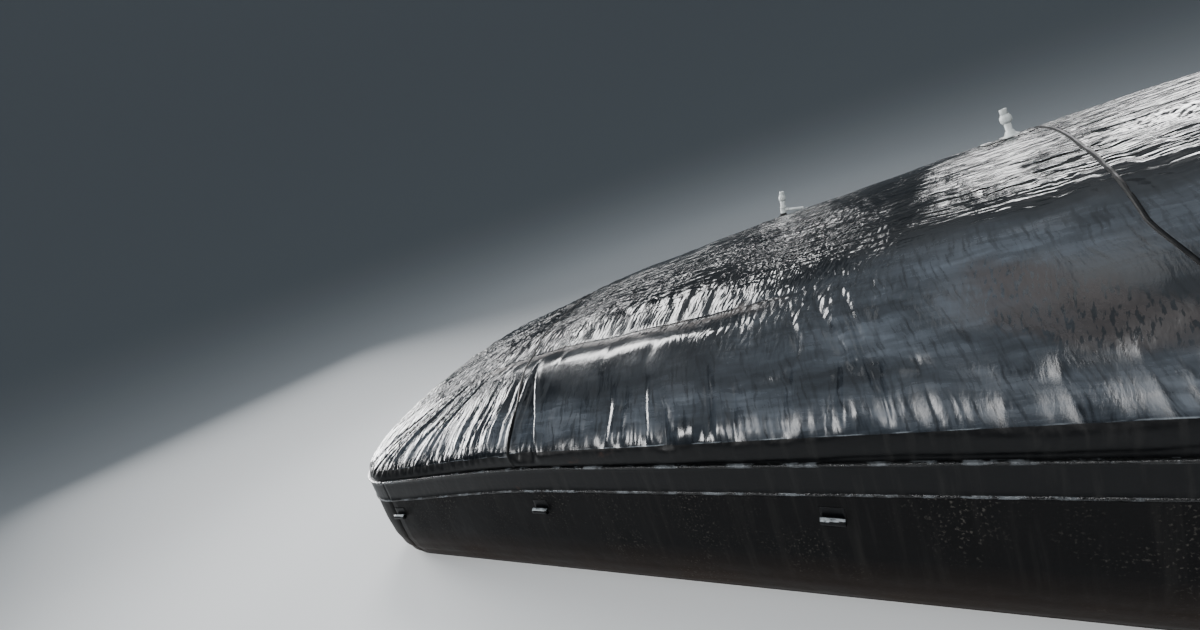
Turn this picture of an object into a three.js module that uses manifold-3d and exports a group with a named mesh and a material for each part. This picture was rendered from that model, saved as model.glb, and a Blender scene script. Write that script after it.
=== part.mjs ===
// A gas-holding bag digester of black HDPE sheet, as laid in a shallow pit on a farm. A low trough of liner
// sheet carries a wide welded band all round, and on it stands a long inflated cover made of five sheets.
// Millimetres, +Z up, +X along the digester. The origin is on the ground at the middle of the footprint.
import * as THREE from 'three';
import { ParametricGeometry } from 'three/addons/geometries/ParametricGeometry.js';
import { mergeVertices } from 'three/addons/utils/BufferGeometryUtils.js';
import Module from 'manifold-3d';

const wasm = await Module();
wasm.setup();

// Driving dimensions.
const LENGTH = 20600;
const WIDTH = 6000;
const CORNER_RADIUS = 800;
const SEAM_HEIGHT = 1350;
const SEAM_DIP = 200;
const DIP_START = 7000;
const BAND_DEPTH = 270;
const CROWN_RISE = 1745;
const MIDDLE_ROUNDING = 900;
const END_RISE = 540;
const END_ROUNDING = 450;
const SHEET = 20;
const GAP = 0.3;

const HALF_LENGTH = LENGTH / 2;
const HALF_WIDTH = WIDTH / 2;
const CORNER_X = HALF_LENGTH - CORNER_RADIUS;
const CORNER_Y = HALF_WIDTH - CORNER_RADIUS;

// The transverse welds between the five cover sheets. Over the crown the outer two bow towards the slack ends by
// WELD_BOW. Low down, where the cosine of the angle over the cover passes TUCK_START, the inner two are drawn
// towards the middle, by WELD_TUCK at the seam.
const WELD_X = [-7350, -2450, 2450, 7350];
const WELD_BOW = 620;
const WELD_TUCK = 340;
const TUCK_START = 0.7;
const WELD_WIDTH = 80;
const WELD_PROUD = 12;
const WELD_INSIDE = -22;
const WELD_CLEARANCE = 0.8;

// The welded band stands proud of the wall below it and carries the foot of the cover.
const BAND_OUTSIDE = 36;
const BAND_INSIDE = -24;
const BAND_CLEARANCE = 1;
const SEAM_CLEARANCE = 0.6;

// The wall's profile: height above the ground and how far it stands out from the seam's outline.
const FOOT_INSET = -150;
const WALL_PROUD = 20;
const WALL_PROFILE = [
  [SHEET + GAP, FOOT_INSET],
  [110, -80],
  [240, -25],
  [400, 8],
  [600, WALL_PROUD],
];

// Sections are taken at these distances from each end, close together where the end turns down.
const END_STATIONS = [0, 12, 45, 110, 210, 350, 550, CORNER_RADIUS, 1200, 1700, 2300];
const MIDDLE_STEPS = 5;
const ARC_STEPS = 18;
const PIPE_SIDES = 16;

const blackLiner = new THREE.MeshStandardMaterial({ color: 0x141516, roughness: 0.55, metalness: 0 });
const blackCover = new THREE.MeshStandardMaterial({ color: 0x1a1d21, roughness: 0.25, metalness: 0 });
const blackWeld = new THREE.MeshStandardMaterial({ color: 0x101112, roughness: 0.4, metalness: 0 });
const whitePipe = new THREE.MeshStandardMaterial({ color: 0xd9dedd, roughness: 0.35, metalness: 0 });

const digester = new THREE.Group();

function addPiece(name, geometry, material, parent = digester) {
  const mesh = new THREE.Mesh(geometry, material);
  mesh.name = name;
  parent.add(mesh);
  return mesh;
}

// Outline and heights of the bag.

// The welded seam is level along the sides and dips towards the ends, where the sheet is slack.
function seamHeight(x) {
  return SEAM_HEIGHT - SEAM_DIP * THREE.MathUtils.smoothstep(Math.abs(x), DIP_START, HALF_LENGTH);
}

function halfWidthAt(x) {
  const intoCorner = Math.max(Math.abs(x) - CORNER_X, 0);
  return CORNER_Y + Math.sqrt(Math.max(CORNER_RADIUS ** 2 - intoCorner ** 2, 0));
}

// The crown turns down in a quarter ellipse at each end and climbs gently from there to the middle.
function crownRise(x) {
  const fromEnd = HALF_LENGTH - Math.abs(x);
  const turned = Math.min(fromEnd / END_ROUNDING, 1);
  const rounding = Math.sqrt(Math.max(1 - (1 - turned) ** 2, 0));
  const climb = 1 - (Math.hypot(x, MIDDLE_ROUNDING) / HALF_LENGTH) ** 1.22;
  return rounding * (END_RISE + (CROWN_RISE - END_RISE) * climb);
}

// Where a line across the cover that leaves the seam at x has got to, further over.
function bowedX(x, across) {
  const reach = Math.abs(x);
  const bowShare =
    reach < WELD_X[3] ? (reach / WELD_X[3]) ** 4 : (HALF_LENGTH - reach) / (HALF_LENGTH - WELD_X[3]);
  const bow = WELD_BOW * bowShare * Math.sin(Math.PI * across) ** 3;
  const tuckShare = Math.min(reach / WELD_X[2], Math.max(DIP_START - reach, 0) / (DIP_START - WELD_X[2]));
  const low = Math.max(Math.abs(Math.cos(Math.PI * across)) - TUCK_START, 0) / (1 - TUCK_START);
  return x + Math.sign(x) * (bow - WELD_TUCK * tuckShare * low ** 1.3);
}

// A point of the cover's section at x, from the front seam (0) over the crown to the back seam (1).
function coverPoint(x, across, outward) {
  const angle = Math.PI * across;
  const rise = Math.max(crownRise(x) + outward, 0);
  const y = -(halfWidthAt(x) + outward) * Math.cos(angle);
  return new THREE.Vector3(x, y, seamHeight(x) + SEAM_CLEARANCE + rise * Math.sin(angle));
}

// A point of the rounded-rectangle outline. Past the side's straight stretch, x picks a place on the corner arc.
function outlinePoint(x, side, outward) {
  const into = THREE.MathUtils.clamp((Math.abs(x) - CORNER_X) / CORNER_RADIUS, 0, 1);
  const angle = Math.acos(into);
  const end = Math.sign(x);
  if (into === 0) return new THREE.Vector2(x, side * (HALF_WIDTH + outward));
  const radius = CORNER_RADIUS + outward;
  const along = end * (CORNER_X + radius * into);
  return new THREE.Vector2(along, side * (CORNER_Y + radius * Math.sin(angle)));
}

// Closed sheets.

// Wraps an outer and an inner face, each a function of column and row, into one closed body. The first and
// last rows are closed by a seam halfway through the thickness.
function closedSheet(outer, inner, columns, rows) {
  const around = 2 * columns + 2;
  const along = rows + 2;
  const point = (u, v, target) => {
    const turn = Math.round(u * around) % around;
    const step = Math.round(v * along);
    const onOuter = turn <= columns;
    const column = onOuter ? turn : around - 1 - turn;
    const row = THREE.MathUtils.clamp(step - 1, 0, rows);
    target.copy((onOuter ? outer : inner)(column, row));
    if (step === 0 || step === along) {
      target.add((onOuter ? inner : outer)(column, row)).multiplyScalar(0.5);
    }
  };
  return new ParametricGeometry(point, around, along);
}

// The same body with its faces turned to point outwards, where a sheet's rows run the other way.
function facingOut(geometry) {
  const solid = solidOf(geometry);
  return solid.volume() > 0 ? geometryOf(solid) : geometryOf(solidOf(geometry, true));
}

function solidOf(geometry, reversed = false) {
  const plain = geometry.index ? geometry.toNonIndexed() : geometry.clone();
  for (const attribute of Object.keys(plain.attributes)) {
    if (attribute !== 'position') plain.deleteAttribute(attribute);
  }
  const merged = mergeVertices(plain, 1e-3);
  const triVerts = new Uint32Array(merged.index.array);
  if (reversed) {
    for (let i = 0; i < triVerts.length; i += 3) {
      [triVerts[i + 1], triVerts[i + 2]] = [triVerts[i + 2], triVerts[i + 1]];
    }
  }
  const mesh = new wasm.Mesh({ numProp: 3, vertProperties: merged.attributes.position.array, triVerts });
  return new wasm.Manifold(mesh);
}

function geometryOf(solid) {
  const mesh = solid.getMesh();
  return new THREE.BufferGeometry()
    .setAttribute('position', new THREE.BufferAttribute(mesh.vertProperties, 3))
    .setIndex(new THREE.BufferAttribute(mesh.triVerts, 1));
}

function cut(geometry, ...cutters) {
  return geometryOf(cutters.reduce((solid, cutter) => solid.subtract(solidOf(cutter)), solidOf(geometry)));
}

// Stations along X: close together over an end sheet, evenly spread over a middle one.
function stationsBetween(from, to) {
  if (Math.max(Math.abs(from), Math.abs(to)) < HALF_LENGTH) {
    const step = (to - from) / MIDDLE_STEPS;
    return Array.from({ length: MIDDLE_STEPS + 1 }, (_, i) => from + i * step);
  }
  return to === HALF_LENGTH
    ? [from, ...END_STATIONS.map((d) => HALF_LENGTH - d).reverse()]
    : [...END_STATIONS.map((d) => d - HALF_LENGTH), to];
}

const weldEdge = WELD_WIDTH / 2 + WELD_CLEARANCE;
const coverSheets = {
  cover_left_end: stationsBetween(-HALF_LENGTH, WELD_X[0] - weldEdge),
  cover_left: stationsBetween(WELD_X[0] + weldEdge, WELD_X[1] - weldEdge),
  cover_middle: stationsBetween(WELD_X[1] + weldEdge, WELD_X[2] - weldEdge),
  cover_right: stationsBetween(WELD_X[2] + weldEdge, WELD_X[3] - weldEdge),
  cover_right_end: stationsBetween(WELD_X[3] + weldEdge, HALF_LENGTH),
};

// Liner trough.

const footRadius = CORNER_RADIUS + FOOT_INSET;
const floorOutline = new THREE.Shape()
  .absarc(CORNER_X, -CORNER_Y, footRadius, -Math.PI / 2, 0)
  .absarc(CORNER_X, CORNER_Y, footRadius, 0, Math.PI / 2)
  .absarc(-CORNER_X, CORNER_Y, footRadius, Math.PI / 2, Math.PI)
  .absarc(-CORNER_X, -CORNER_Y, footRadius, Math.PI, 1.5 * Math.PI);
addPiece(
  'liner_floor',
  new THREE.ExtrudeGeometry(floorOutline, { depth: SHEET, bevelEnabled: false, curveSegments: 7 }),
  blackLiner
);

// The rows of a wall or band at one station: its heights, each with how far it stands out.
function wallRows(x) {
  return [...WALL_PROFILE, [seamHeight(x) - BAND_DEPTH - BAND_CLEARANCE, WALL_PROUD]];
}

function bandRows(x) {
  return [
    [seamHeight(x) - BAND_DEPTH, BAND_OUTSIDE],
    [seamHeight(x), BAND_OUTSIDE],
  ];
}

// A wall along one long side, as straight facets between the stations.
function sideSheet(side, stations, rowsAt, thickness) {
  const face = (inward) => (column, row) => {
    const [height, outward] = rowsAt(stations[row])[column];
    const { x, y } = outlinePoint(stations[row], side, outward - inward);
    return new THREE.Vector3(x, y, height);
  };
  return facingOut(closedSheet(face(0), face(thickness), rowsAt(0).length - 1, stations.length - 1));
}

// A wall round one end of the bag: corner, straight end, corner.
function endSheet(end, rowsAt, thickness) {
  const arc = END_STATIONS.filter((d) => d <= CORNER_RADIUS).map((d) => end * (HALF_LENGTH - d));
  const places = [...arc.map((x) => [x, 1]).reverse(), ...arc.map((x) => [x, -1])];
  const face = (inward) => (column, row) => {
    const [x0, side] = places[row];
    const [height, outward] = rowsAt(x0)[column];
    const { x, y } = outlinePoint(x0, side, outward - inward);
    const atJoint = row === 0 || row === places.length - 1;
    return new THREE.Vector3(atJoint ? x + (end * GAP) / 2 : x, y, height);
  };
  return facingOut(closedSheet(face(0), face(thickness), rowsAt(0).length - 1, places.length - 1));
}

const sideStations = Object.values(coverSheets)
  .flat()
  .filter((x) => Math.abs(x) < CORNER_X - 1);
sideStations.unshift(-CORNER_X + GAP / 2);
sideStations.push(CORNER_X - GAP / 2);

for (const [word, side] of [['front', -1], ['back', 1]]) {
  addPiece(`liner_${word}`, sideSheet(side, sideStations, wallRows, SHEET), blackLiner);
  addPiece(
    `seam_band_${word}`,
    sideSheet(side, sideStations, bandRows, BAND_OUTSIDE - BAND_INSIDE),
    blackWeld
  );
}
for (const [word, end] of [['left_end', -1], ['right_end', 1]]) {
  addPiece(`liner_${word}`, endSheet(end, wallRows, SHEET), blackLiner);
  addPiece(`seam_band_${word}`, endSheet(end, bandRows, BAND_OUTSIDE - BAND_INSIDE), blackWeld);
}

// Inflated cover.

// A sheet of the cover over the stations. At the ends of the bag its wall also gets its thickness along X.
function coverSheet(stations, outside, inside) {
  const face = (outward) => (column, row) => {
    const x = bowedX(stations[row], column / ARC_STEPS);
    const nearEnd = Math.max(1 - (HALF_LENGTH - Math.abs(x)) / CORNER_RADIUS, 0);
    const point = coverPoint(x, column / ARC_STEPS, outward);
    if (outward < 0) point.x += Math.sign(x) * outward * nearEnd;
    return point;
  };
  return facingOut(closedSheet(face(outside), face(inside), ARC_STEPS, stations.length - 1));
}

WELD_X.forEach((x, i) => {
  const stations = [x - WELD_WIDTH / 2, x + WELD_WIDTH / 2];
  addPiece(`cover_weld_${i + 1}`, coverSheet(stations, WELD_PROUD, WELD_INSIDE), blackWeld);
});

// White PVC pipes through the cover's left sheet.

const PIPE_RADIUS = 30;
const PIPE_BORE = 27;
const RISER_INSIDE = 120;
const BOOT_HEIGHT = 55;
const BOOT_RADIUS = 75;
const BOOT_NECK = 38;
const PATCH_HALF = 250;

function lathe(profile) {
  const points = [...profile, profile[0]].map(([radius, height]) => new THREE.Vector2(radius, height));
  const geometry = new THREE.LatheGeometry(points, PIPE_SIDES);
  return facingOut(geometry.rotateX(Math.PI / 2));
}

function tube(outerRadius, innerRadius, from, to) {
  return lathe([[innerRadius, from], [outerRadius, from], [outerRadius, to], [innerRadius, to]]);
}

function cylinder(radius, from, to) {
  return new THREE.CylinderGeometry(radius, radius, to - from, PIPE_SIDES)
    .rotateX(Math.PI / 2)
    .translate(0, 0, (from + to) / 2);
}

// A frame standing on the cover at (x, y), leaning towards -X by the given angle.
function standOnCover(x, y, lean) {
  const stand = new THREE.Group();
  const across = Math.acos(-y / halfWidthAt(x)) / Math.PI;
  stand.position.copy(coverPoint(x, across, 0));
  stand.rotation.y = -lean;
  stand.updateMatrixWorld(true);
  digester.add(stand);
  return stand;
}

// Everything from well inside the cover up to a hair above it, to trim what sits on the sheet.
function coverCutter(stations, stand) {
  return coverSheet(stations, GAP, -400).applyMatrix4(stand.matrixWorld.clone().invert());
}

// The lip of sheet that is welded to the cover and stands up round the pipe.
function boot(stand) {
  const skirt = lathe([
    [PIPE_RADIUS + GAP, -60],
    [BOOT_RADIUS, -60],
    [BOOT_RADIUS, 12],
    [BOOT_NECK + 6, 32],
    [BOOT_NECK, BOOT_HEIGHT],
    [PIPE_RADIUS + GAP, BOOT_HEIGHT],
  ]);
  return cut(skirt, coverCutter(coverSheets.cover_left, stand));
}

// A screwed union: a wide nut with a shoulder, a socket for the riser below and one for the tip above.
function union(bottom, nutRadius, nutHeight, tipRadius) {
  const top = bottom + nutHeight;
  const neck = tipRadius + 6;
  return lathe([
    [PIPE_RADIUS + GAP, bottom],
    [nutRadius - 5, bottom],
    [nutRadius, bottom + 6],
    [nutRadius, top - 18],
    [neck, top],
    [tipRadius + GAP, top],
    [tipRadius + GAP, top - 22],
    [PIPE_BORE, top - 22],
    [PIPE_BORE, bottom + 40],
    [PIPE_RADIUS + GAP, bottom + 40],
  ]);
}

function tip(unionTop, radius, height) {
  return tube(radius, PIPE_BORE, unionTop - 22 + GAP, unionTop + height);
}

// A square of doubled sheet round the pipe takes its pull. It is let into the left sheet, and ends at the weld
// where it meets one.
const patchCuts = [];
function patch(stand) {
  const sheet = solidOf(coverSheet(coverSheets.cover_left, 0, -SHEET));
  const { x, y } = stand.position;
  const square = (half) => new THREE.BoxGeometry(2 * half, 2 * half, WIDTH).translate(x, y, WIDTH / 2);
  const hole = cylinder(PIPE_RADIUS + GAP, -400, 400).applyMatrix4(stand.matrixWorld);
  patchCuts.push(square(PATCH_HALF + GAP));
  return cut(geometryOf(sheet.intersect(solidOf(square(PATCH_HALF)))), hole);
}

// The gas pipe: a riser with a tee, whose branch carries the gas off along the crown. It leans to the right,
// so the branch falls a little.
const GAS_UNION_BOTTOM = 222;
const GAS_NUT_RADIUS = 44;
const GAS_NUT_HEIGHT = 85;
const GAS_TIP_RADIUS = 31;
const TEE_HEIGHT = 100;
const TEE_RADIUS = 36;
const TEE_HALF_HEIGHT = 42;
const ARM_RADIUS = 23;
const ARM_LENGTH = 72;
const BRANCH_RADIUS = 17;
const BRANCH_BORE = 14;
const BRANCH_START = 45;
const BRANCH_END = 265;

const GAS_LEAN = THREE.MathUtils.degToRad(-8);

const gasPipe = standOnCover(-5150, 1250, GAS_LEAN);
addPiece('gas_pipe_patch', patch(gasPipe), blackCover);
const alongX = (geometry) => geometry.rotateY(Math.PI / 2).translate(0, 0, TEE_HEIGHT);
const teeBody = solidOf(cylinder(TEE_RADIUS, TEE_HEIGHT - TEE_HALF_HEIGHT, TEE_HEIGHT + TEE_HALF_HEIGHT)).add(
  solidOf(alongX(cylinder(ARM_RADIUS, 0, ARM_LENGTH)))
);
addPiece(
  'gas_pipe_tee',
  cut(
    geometryOf(teeBody),
    cylinder(PIPE_RADIUS + GAP, 0, 2 * TEE_HEIGHT),
    alongX(cylinder(BRANCH_BORE, 0, ARM_LENGTH)),
    alongX(cylinder(BRANCH_RADIUS + GAP, BRANCH_START - GAP, 2 * ARM_LENGTH))
  ),
  whitePipe,
  gasPipe
);
addPiece(
  'gas_pipe_riser',
  cut(
    tube(PIPE_RADIUS, PIPE_BORE, -RISER_INSIDE, GAS_UNION_BOTTOM + 40 - GAP),
    alongX(cylinder(BRANCH_BORE, 0, ARM_LENGTH))
  ),
  whitePipe,
  gasPipe
);
addPiece(
  'gas_pipe_branch',
  alongX(tube(BRANCH_RADIUS, BRANCH_BORE, BRANCH_START, BRANCH_END)),
  whitePipe,
  gasPipe
);
addPiece('gas_pipe_boot', boot(gasPipe), blackWeld, gasPipe);
addPiece(
  'gas_pipe_union',
  union(GAS_UNION_BOTTOM, GAS_NUT_RADIUS, GAS_NUT_HEIGHT, GAS_TIP_RADIUS),
  whitePipe,
  gasPipe
);
addPiece('gas_pipe_tip', tip(GAS_UNION_BOTTOM + GAS_NUT_HEIGHT, GAS_TIP_RADIUS, 45), whitePipe, gasPipe);

// The relief vent: a short riser with a larger union, leaning a little towards the left end.
const VENT_LEAN = THREE.MathUtils.degToRad(8);
const VENT_UNION_BOTTOM = 140;
const VENT_NUT_RADIUS = 50;
const VENT_NUT_HEIGHT = 88;
const VENT_TIP_RADIUS = 33;

const vent = standOnCover(-2680, 500, VENT_LEAN);
addPiece('vent_patch', patch(vent), blackCover);
addPiece('vent_boot', boot(vent), whitePipe, vent);
addPiece(
  'vent_riser',
  tube(PIPE_RADIUS, PIPE_BORE, -RISER_INSIDE, VENT_UNION_BOTTOM + 40 - GAP),
  whitePipe,
  vent
);
addPiece(
  'vent_union',
  union(VENT_UNION_BOTTOM, VENT_NUT_RADIUS, VENT_NUT_HEIGHT, VENT_TIP_RADIUS),
  whitePipe,
  vent
);
addPiece('vent_tip', tip(VENT_UNION_BOTTOM + VENT_NUT_HEIGHT, VENT_TIP_RADIUS, 58), whitePipe, vent);

for (const [name, stations] of Object.entries(coverSheets)) {
  const sheet = coverSheet(stations, 0, -SHEET);
  addPiece(name, name === 'cover_left' ? cut(sheet, ...patchCuts) : sheet, blackCover);
}

// Tie loops: a strip of thick sheet folded into a tube and welded to the wall by its flap.

const LOOP_X = [-9410, -7190, -4490, -1500, 1500, 4490, 7190, 9410];
const LOOP_LENGTH = 172;
const LOOP_BELOW_SEAM = 460;
const LOOP_RADIUS = 35;
const LOOP_BORE = 27;
const FLAP_THICKNESS = 8;
const FLAP_HEIGHT = 95;

function tieLoop() {
  const flapMeets = Math.acos((FLAP_THICKNESS - LOOP_RADIUS) / LOOP_RADIUS);
  const section = new THREE.Shape();
  section.moveTo(FLAP_THICKNESS, FLAP_HEIGHT);
  section.lineTo(0, FLAP_HEIGHT);
  section.absarc(LOOP_RADIUS, 0, LOOP_RADIUS, Math.PI, 2 * Math.PI + flapMeets);
  section.closePath();
  section.holes.push(new THREE.Path().absarc(LOOP_RADIUS, 0, LOOP_BORE, 0, 2 * Math.PI));
  const settings = { depth: LOOP_LENGTH, bevelEnabled: false, curveSegments: 6 };
  return new THREE.ExtrudeGeometry(section, settings).translate(0, 0, -LOOP_LENGTH / 2);
}

for (const [word, side] of [['front', -1], ['back', 1]]) {
  LOOP_X.forEach((x, i) => {
    const loop = addPiece(`tie_loop_${word}_${i + 1}`, tieLoop(), blackWeld);
    const outwards = new THREE.Vector3(0, side, 0);
    const up = new THREE.Vector3(0, 0, 1);
    const along = new THREE.Vector3().crossVectors(outwards, up);
    loop.setRotationFromMatrix(new THREE.Matrix4().makeBasis(outwards, up, along));
    loop.position.set(x, side * (HALF_WIDTH + WALL_PROUD + GAP), seamHeight(x) - LOOP_BELOW_SEAM);
  });
}

export default digester;
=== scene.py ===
"""A bag digester of black HDPE sheet: a low trough of liner, a wide welded band, and a long inflated cover.

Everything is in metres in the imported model's frame: +X along the digester, -Y the side that is seen, +Z up.
"""

import bisect
import math
import random

import bmesh
import bpy
from mathutils import Matrix, Vector, noise


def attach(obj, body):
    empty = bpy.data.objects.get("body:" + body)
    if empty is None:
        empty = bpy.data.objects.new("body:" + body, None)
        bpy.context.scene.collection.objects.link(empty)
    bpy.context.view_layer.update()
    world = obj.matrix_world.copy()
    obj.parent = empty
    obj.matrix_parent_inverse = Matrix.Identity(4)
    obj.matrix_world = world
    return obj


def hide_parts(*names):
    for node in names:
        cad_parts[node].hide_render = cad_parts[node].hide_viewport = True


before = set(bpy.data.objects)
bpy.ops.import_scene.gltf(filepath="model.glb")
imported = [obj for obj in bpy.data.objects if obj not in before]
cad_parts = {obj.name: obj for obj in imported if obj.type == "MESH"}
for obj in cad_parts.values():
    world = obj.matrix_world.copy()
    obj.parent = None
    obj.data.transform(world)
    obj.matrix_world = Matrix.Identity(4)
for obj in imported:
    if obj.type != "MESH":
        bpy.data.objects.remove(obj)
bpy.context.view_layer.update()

# The floor of the trough.
# One rounded rectangle of HDPE liner, 1.5 mm thick, laid on the levelled ground with its edges turned up.
# The solid's own shape is right, so it only gets the liner's finish.


def linear_colour(hex_code):
    """An sRGB hex value as linear red, green, blue and alpha."""
    parts = [int(hex_code[i : i + 2], 16) / 255 for i in (1, 3, 5)]
    return [c / 12.92 if c <= 0.04045 else ((c + 0.055) / 1.055) ** 2.4 for c in parts] + [1.0]


def add_node(material, kind, inputs=(), **settings):
    """Adds a node. An input is a value, or the socket of another node to link from."""
    node = material.node_tree.nodes.new(kind)
    for name, value in settings.items():
        setattr(node, name, value)
    for socket, value in dict(inputs).items():
        if isinstance(value, bpy.types.NodeSocket):
            material.node_tree.links.new(value, node.inputs[socket])
        else:
            node.inputs[socket].default_value = value
    return node


def new_finish(name):
    material = bpy.data.materials.new(name)
    material.use_nodes = True
    material.node_tree.nodes.clear()
    return material


# Weathered HDPE liner, flat-die extruded: a dull black with grey dust that rain has drawn into streaks 20 to
# 60 mm apart, patches of pale specks, and soil splashed along the foot.
liner_finish = new_finish("weathered HDPE liner")
place = add_node(liner_finish, "ShaderNodeTexCoord").outputs["Object"]
axes = add_node(liner_finish, "ShaderNodeSeparateXYZ", {"Vector": place})
drawn_out = add_node(liner_finish, "ShaderNodeMapping", {"Vector": place, "Scale": (16.0, 16.0, 0.9)})
pattern = {}
for key, laid_on, scale, detail, roughness in (
    ("streaks", drawn_out.outputs[0], 1.0, 5.0, 0.62),
    ("clouds", place, 1.3, 6.0, 0.6),
    ("specks", place, 48.0, 2.0, 0.5),
    ("dents", place, 9.0, 4.0, 0.5),
):
    inputs = {"Vector": laid_on, "Scale": scale, "Detail": detail, "Roughness": roughness}
    pattern[key] = add_node(liner_finish, "ShaderNodeTexNoise", inputs).outputs["Fac"]

# Shares between 0 and 1, each from a range of a pattern's values or of the height in metres.
share = {}
for key, value, low, high, start, end in (
    ("dust", pattern["streaks"], 0.52, 0.8, 0.0, 0.4),
    ("low down", axes.outputs["Z"], 0.55, 0.0, 0.0, 1.0),
    ("specked", pattern["specks"], 0.58, 0.7, 0.0, 1.0),
    ("speck patches", pattern["clouds"], 0.46, 0.62, 0.0, 0.42),
    ("dullness", pattern["clouds"], 0.3, 0.7, 0.5, 0.7),
):
    limits = {"Value": value, "From Min": low, "From Max": high, "To Min": start, "To Max": end}
    share[key] = add_node(liner_finish, "ShaderNodeMapRange", limits).outputs[0]
for key, first, second in (
    ("soil", share["low down"], pattern["clouds"]),
    ("specks", share["specked"], share["speck patches"]),
):
    inputs = {0: first, 1: second}
    share[key] = add_node(liner_finish, "ShaderNodeMath", inputs, operation="MULTIPLY").outputs[0]
colour = linear_colour("#050506")
for key, over_colour in (("dust", "#292826"), ("soil", "#3a2d24"), ("specks", "#5a5752")):
    inputs = {"Factor": share[key], 6: colour, 7: linear_colour(over_colour)}
    colour = add_node(liner_finish, "ShaderNodeMix", inputs, data_type="RGBA").outputs[2]
inputs = {"Height": pattern["dents"], "Strength": 0.5, "Distance": 0.01}
relief = add_node(liner_finish, "ShaderNodeBump", inputs).outputs[0]
surface = add_node(
    liner_finish,
    "ShaderNodeBsdfPrincipled",
    {
        "Base Color": colour,
        "Roughness": share["dullness"],
        "Normal": relief,
        "IOR": 1.52,
        "Specular IOR Level": 0.14,
    },
)
add_node(liner_finish, "ShaderNodeOutputMaterial", {"Surface": surface.outputs[0]})

liner_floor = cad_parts["liner_floor"]
liner_floor.data.materials.clear()
liner_floor.data.materials.append(liner_finish)

# The walls of the trough.
# HDPE liner 1.5 mm thick, folded up from the floor and held out by what it holds. It bulges a little between
# the welds to the band above, and hangs in shallow waves.
LENGTH = 20.6
WIDTH = 6.0
CORNER = 0.8
HALF_LENGTH = LENGTH / 2
HALF_WIDTH = WIDTH / 2
CORNER_X = HALF_LENGTH - CORNER
CORNER_Y = HALF_WIDTH - CORNER
SIDE_RUN = 2 * CORNER_X
END_RUN = 2 * CORNER_Y + math.pi * CORNER
SEAM_HEIGHT = 1.35
SEAM_DIP = 0.2
DIP_START = 7.0
BAND_DEPTH = 0.27

# Liner and cover are both drawn 2 mm thick, so that their edges show.
SHEET_THICKNESS = 0.002

# Heights up the wall, and how far it stands out from the footprint there.
WALL_ROWS = [(0.004, -0.15), (0.11, -0.08), (0.24, -0.025), (0.4, 0.008), (0.6, 0.018), (0.85, 0.019)]


def ease(low, high, value):
    """Goes smoothly from 0 at low to 1 at high."""
    share = min(max((value - low) / (high - low), 0.0), 1.0)
    return share * share * (3.0 - 2.0 * share)


def seam_height(x):
    return SEAM_HEIGHT - SEAM_DIP * ease(DIP_START, HALF_LENGTH, abs(x))


def outline(run):
    """A point of the footprint and its outward direction, at a run round it from the front left corner."""
    run %= 2 * (SIDE_RUN + END_RUN)
    turned = 1.0
    if run >= SIDE_RUN + END_RUN:
        run -= SIDE_RUN + END_RUN
        turned = -1.0
    quarter = CORNER * math.pi / 2
    if run < SIDE_RUN:
        spot, out = (run - CORNER_X, -HALF_WIDTH), (0.0, -1.0)
    elif run < SIDE_RUN + quarter or run > SIDE_RUN + END_RUN - quarter:
        first = run < SIDE_RUN + quarter
        angle = (run - SIDE_RUN if first else run - SIDE_RUN - 2 * CORNER_Y) / CORNER - math.pi / 2
        out = (math.cos(angle), math.sin(angle))
        middle = -CORNER_Y if first else CORNER_Y
        spot = (CORNER_X + CORNER * out[0], middle + CORNER * out[1])
    else:
        spot, out = (HALF_LENGTH, run - SIDE_RUN - quarter - CORNER_Y), (1.0, 0.0)
    return Vector((turned * spot[0], turned * spot[1], 0.0)), Vector((turned * out[0], turned * out[1], 0.0))


def finished_piece(name, bm, finish, slot, *nodes):
    """Makes the object, with smooth faces, riding on the root and standing for its CAD nodes."""
    for face in bm.faces:
        face.smooth = True
    mesh = bpy.data.meshes.new(name)
    bm.to_mesh(mesh)
    bm.free()
    piece = bpy.data.objects.new(name, mesh)
    bpy.context.scene.collection.objects.link(piece)
    mesh.materials.append(finish)
    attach(piece, "root")
    if nodes:
        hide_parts(*nodes)
    return piece


def grid_of(columns, rows, place_point):
    """A sheet of columns by rows faces. Each corner goes where place_point(share along, share up) says."""
    bm = bmesh.new()
    bmesh.ops.create_grid(bm, x_segments=columns, y_segments=rows, size=0.5)
    for vertex in bm.verts:
        vertex.co = place_point(vertex.co.x + 0.5, vertex.co.y + 0.5)
    return bm


def give_thickness(piece, thickness):
    solid = piece.modifiers.new("sheet thickness", "SOLIDIFY")
    solid.thickness = thickness
    solid.offset = -1.0
    solid.use_rim = True


def wall_offset(height):
    """How far the wall stands out at a height: it rounds in to the floor."""
    for (z0, out0), (z1, out1) in zip(WALL_ROWS, WALL_ROWS[1:]):
        if height <= z1:
            return out0 + (out1 - out0) * ease(z0, z1, height)
    return WALL_ROWS[-1][1]


def wall_point(start, length):
    def place_point(along, up):
        run = start + along * length
        spot, out = outline(run)
        top = seam_height(spot.x) - BAND_DEPTH + 0.03
        z = WALL_ROWS[0][0] + (top - WALL_ROWS[0][0]) * up
        spot.z = z
        wave = noise.noise(Vector((run * 1.1, z * 1.4, 3.0))) * 0.016
        wave += noise.noise(Vector((run * 3.7, z * 2.2, 8.0))) * 0.005
        calm = ease(0.02, 0.3, z) * (1.0 - 0.8 * ease(top - 0.35, top - 0.1, z))
        return spot + out * (wall_offset(z) + wave * calm)

    return place_point


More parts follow.
